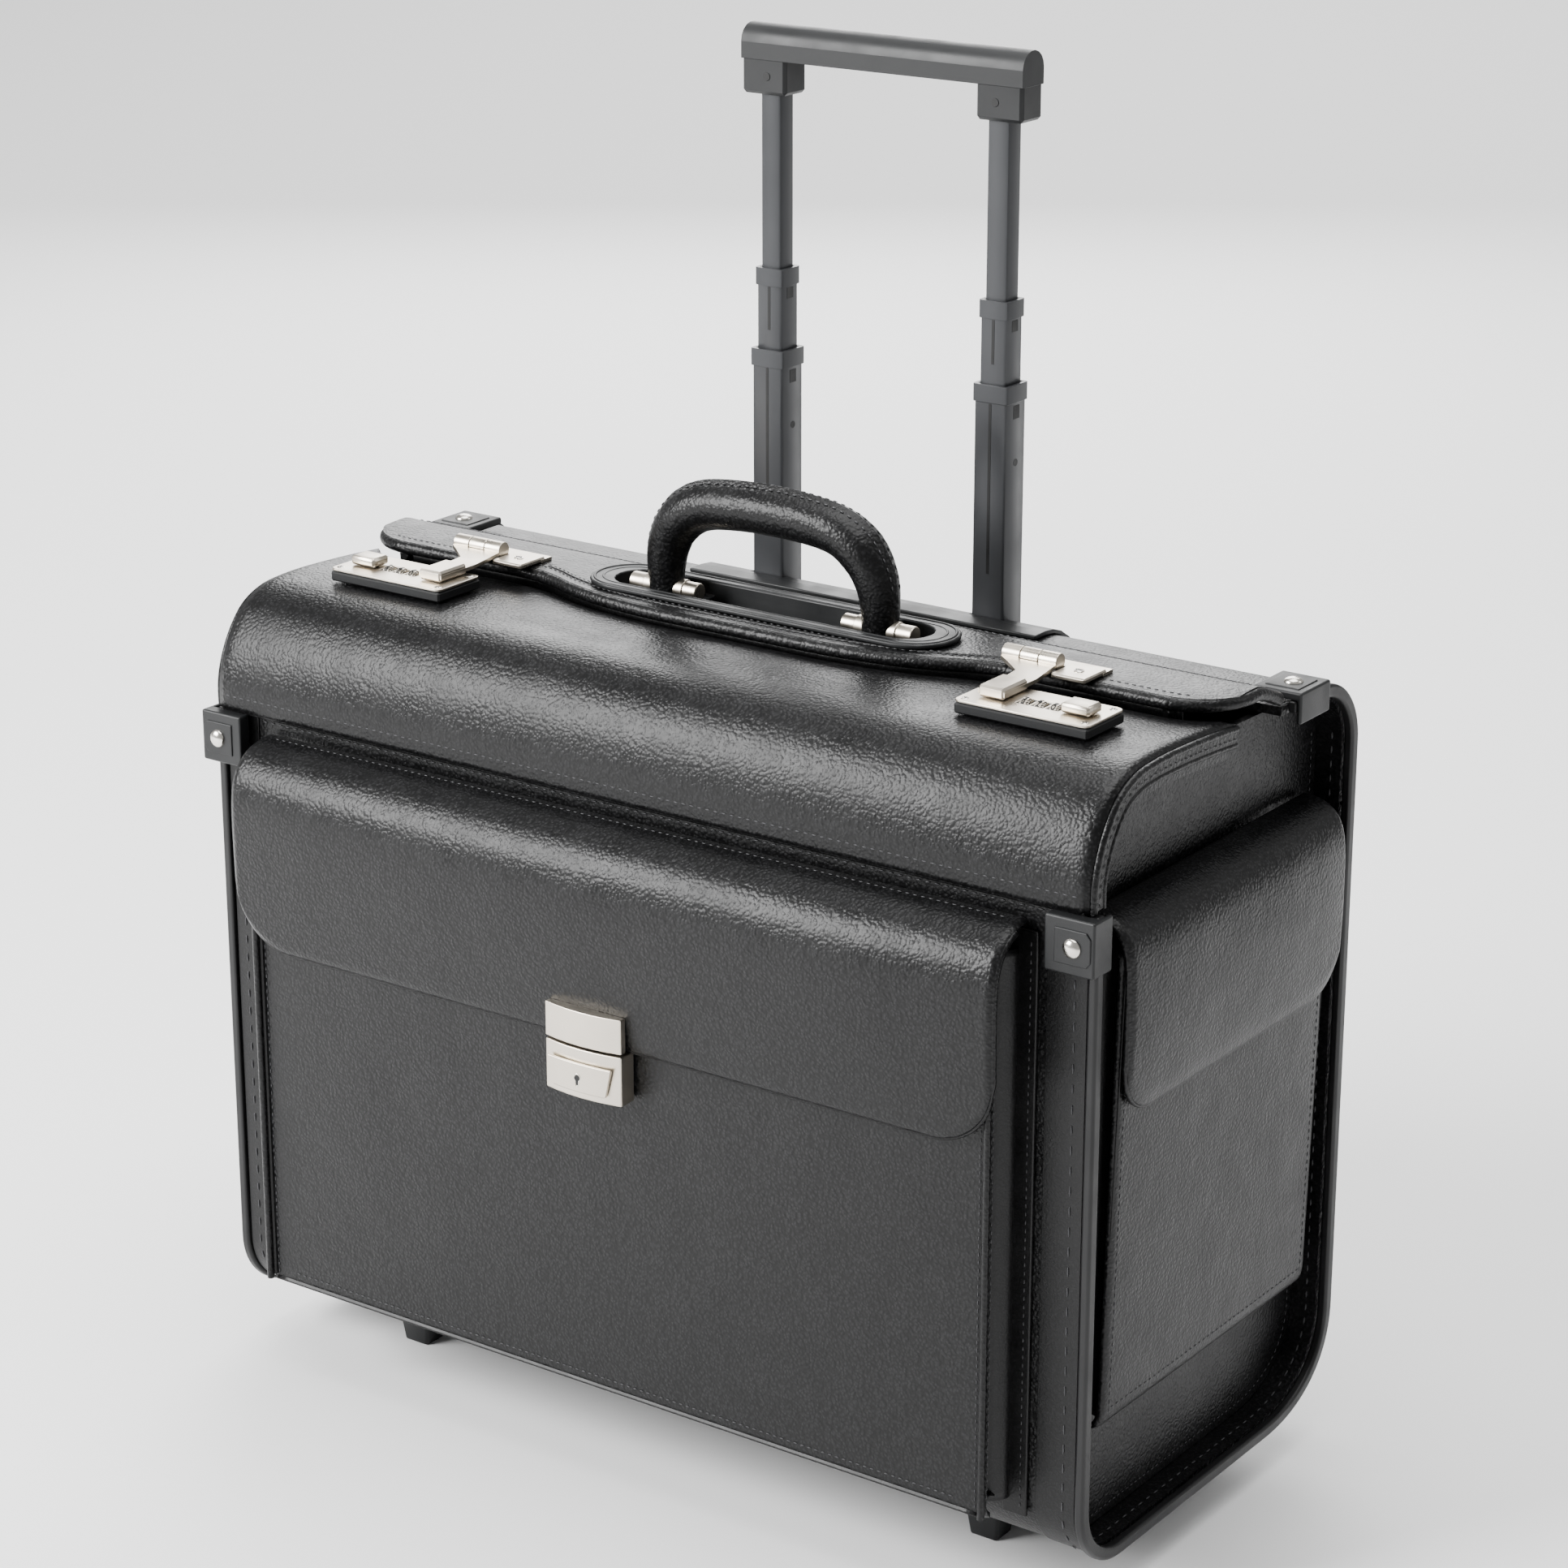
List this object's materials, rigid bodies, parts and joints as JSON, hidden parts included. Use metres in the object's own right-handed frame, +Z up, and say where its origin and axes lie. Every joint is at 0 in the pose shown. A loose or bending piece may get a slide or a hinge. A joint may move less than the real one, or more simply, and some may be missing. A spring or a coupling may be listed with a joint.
{
  "type": "pilot rolling flight case",
  "caption": "Boxy leatherette pilot case with two-part top lid, combination locks, outer pockets, carry handle, wheels and telescopic trolley handle.",
  "frame": {"origin": "centre of the case's footprint, on the surface it stands on", "axes": "+X along the width to the case's left-hand end as seen from behind, -Y out of the front pocket, +Z up"},
  "size_m": [0.4902, 0.252, 0.6199],
  "materials": {
    "leather": "semi-gloss pebble-grain leatherette, black",
    "plastic": "matte, dark grey",
    "nickel": "satin nickel plate",
    "tube": "semi-matte, dark grey",
    "rubber": "matte, black",
    "lining": "matte woven lining, dark grey"
  },
  "bodies": {
    "case": {"shell": "leather", "partition": "lining", "trolley_bezel": "plastic", "pocket_front": "leather", "lock_body": "nickel", "rim_l": "plastic", "rim_r": "plastic", "end_panel_l": "leather", "end_panel_r": "leather", "cap_front_l": "plastic", "cap_front_r": "plastic", "cap_rear_l": "plastic", "cap_rear_r": "plastic", "wheel_housing_l": "plastic", "wheel_housing_r": "plastic", "foot_l": "plastic", "foot_r": "plastic", "tube_fixed_l": "tube", "tube_fixed_r": "tube", "side_pocket_l": "leather", "side_pocket_r": "leather"},
    "front_lid": {"front_lid": "leather", "lock_base_l": "plastic", "lock_base_r": "plastic", "lock_plate_l": "nickel", "lock_plate_r": "nickel"},
    "rear_lid": {"rear_lid": "leather", "handle_bezel": "plastic", "hasp_leaf_l": "nickel", "hasp_leaf_r": "nickel"},
    "carry_handle": {"carry_handle": "leather"},
    "pocket_flap": {"pocket_flap": "leather", "flap_plate": "nickel"},
    "lock_slider": {"lock_slider": "nickel"},
    "trolley_lower": {"stage1_l": "tube", "stage1_r": "tube"},
    "trolley_middle": {"stage2_l": "tube", "stage2_r": "tube"},
    "trolley_upper": {"stage3_l": "tube", "stage3_r": "tube", "grip": "plastic"},
    "side_flap_l": {"side_flap_l": "leather"},
    "hasp_l": {"hasp_l": "nickel"},
    "knob_l": {"knob_l": "nickel"},
    "wheel_l": {"wheel_l": "rubber"},
    "dial_l1": {"dial_l1": "nickel"},
    "dial_l2": {"dial_l2": "nickel"},
    "dial_l3": {"dial_l3": "nickel"},
    "side_flap_r": {"side_flap_r": "leather"},
    "hasp_r": {"hasp_r": "nickel"},
    "knob_r": {"knob_r": "nickel"},
    "wheel_r": {"wheel_r": "rubber"},
    "dial_r1": {"dial_r1": "nickel"},
    "dial_r2": {"dial_r2": "nickel"},
    "dial_r3": {"dial_r3": "nickel"}
  },
  "joints": [
    {"name": "rear_lid_hinge", "type": "hinge", "parent": "case", "child": "rear_lid", "pos_m": [0, 0.061, 0.3665], "axis": [-1, 0, 0], "range_deg": [0, 60]},
    {"name": "front_lid_hinge", "type": "hinge", "parent": "case", "child": "front_lid", "pos_m": [0, -0.0937, 0.3188], "axis": [1, 0, 0], "range_deg": [0, 60]},
    {"name": "carry_handle_pivot", "type": "hinge", "parent": "rear_lid", "child": "carry_handle", "pos_m": [0, 0.0175, 0.3795], "axis": [1, 0, 0], "range_deg": [-38, 38]},
    {"name": "pocket_flap_hinge", "type": "hinge", "parent": "case", "child": "pocket_flap", "pos_m": [0, -0.0912, 0.3098], "axis": [1, 0, 0], "range_deg": [-75, 0]},
    {"name": "pocket_lock_slide", "type": "slide", "parent": "case", "child": "lock_slider", "axis": [0, 0, -1], "range_m": [0, 0.003], "stiffness_N_per_m": 300},
    {"name": "side_flap_l_hinge", "type": "hinge", "parent": "case", "child": "side_flap_l", "pos_m": [-0.2225, 0, 0.3118], "axis": [0, 1, 0], "range_deg": [0, 100]},
    {"name": "hasp_l_hinge", "type": "hinge", "parent": "rear_lid", "child": "hasp_l", "pos_m": [-0.16, 0.0105, 0.3835], "axis": [-1, 0, 0], "range_deg": [0, 150]},
    {"name": "knob_l_slide", "type": "slide", "parent": "front_lid", "child": "knob_l", "axis": [-1, 0, 0], "range_m": [-0.002, 0.002], "stiffness_N_per_m": 200},
    {"name": "dial_l1_turn", "type": "hinge", "parent": "front_lid", "child": "dial_l1", "pos_m": [-0.1787, -0.032, 0.3768], "axis": [1, 0, 0], "continuous": true},
    {"name": "dial_l2_turn", "type": "hinge", "parent": "front_lid", "child": "dial_l2", "pos_m": [-0.1715, -0.032, 0.3768], "axis": [1, 0, 0], "continuous": true},
    {"name": "dial_l3_turn", "type": "hinge", "parent": "front_lid", "child": "dial_l3", "pos_m": [-0.1643, -0.032, 0.3768], "axis": [1, 0, 0], "continuous": true},
    {"name": "wheel_l_spin", "type": "hinge", "parent": "case", "child": "wheel_l", "pos_m": [-0.165, 0.0925, 0.025], "axis": [1, 0, 0], "continuous": true},
    {"name": "side_flap_r_hinge", "type": "hinge", "parent": "case", "child": "side_flap_r", "pos_m": [0.2225, 0, 0.3118], "axis": [0, -1, 0], "range_deg": [0, 100]},
    {"name": "hasp_r_hinge", "type": "hinge", "parent": "rear_lid", "child": "hasp_r", "pos_m": [0.1405, 0.0105, 0.3835], "axis": [-1, 0, 0], "range_deg": [0, 150]},
    {"name": "knob_r_slide", "type": "slide", "parent": "front_lid", "child": "knob_r", "axis": [1, 0, 0], "range_m": [-0.002, 0.002], "stiffness_N_per_m": 200},
    {"name": "dial_r1_turn", "type": "hinge", "parent": "front_lid", "child": "dial_r1", "pos_m": [0.1643, -0.032, 0.3768], "axis": [1, 0, 0], "continuous": true},
    {"name": "dial_r2_turn", "type": "hinge", "parent": "front_lid", "child": "dial_r2", "pos_m": [0.1715, -0.032, 0.3768], "axis": [1, 0, 0], "continuous": true},
    {"name": "dial_r3_turn", "type": "hinge", "parent": "front_lid", "child": "dial_r3", "pos_m": [0.1787, -0.032, 0.3768], "axis": [1, 0, 0], "continuous": true},
    {"name": "wheel_r_spin", "type": "hinge", "parent": "case", "child": "wheel_r", "pos_m": [0.165, 0.0925, 0.025], "axis": [1, 0, 0], "continuous": true},
    {"name": "trolley_lower_slide", "type": "slide", "parent": "case", "child": "trolley_lower", "axis": [0, 0, 1], "range_m": [-0.096, 0.115]},
    {"name": "trolley_middle_slide", "type": "slide", "parent": "trolley_lower", "child": "trolley_middle", "axis": [0, 0, 1], "range_m": [-0.0292, 0.175]},
    {"name": "trolley_upper_slide", "type": "slide", "parent": "trolley_middle", "child": "trolley_upper", "axis": [0, 0, 1], "range_m": [-0.078, 0.138]}
  ],
  "couplings": [
    {"joint": "front_lid_hinge", "follows": "rear_lid_hinge", "ratio": 1}
  ]
}
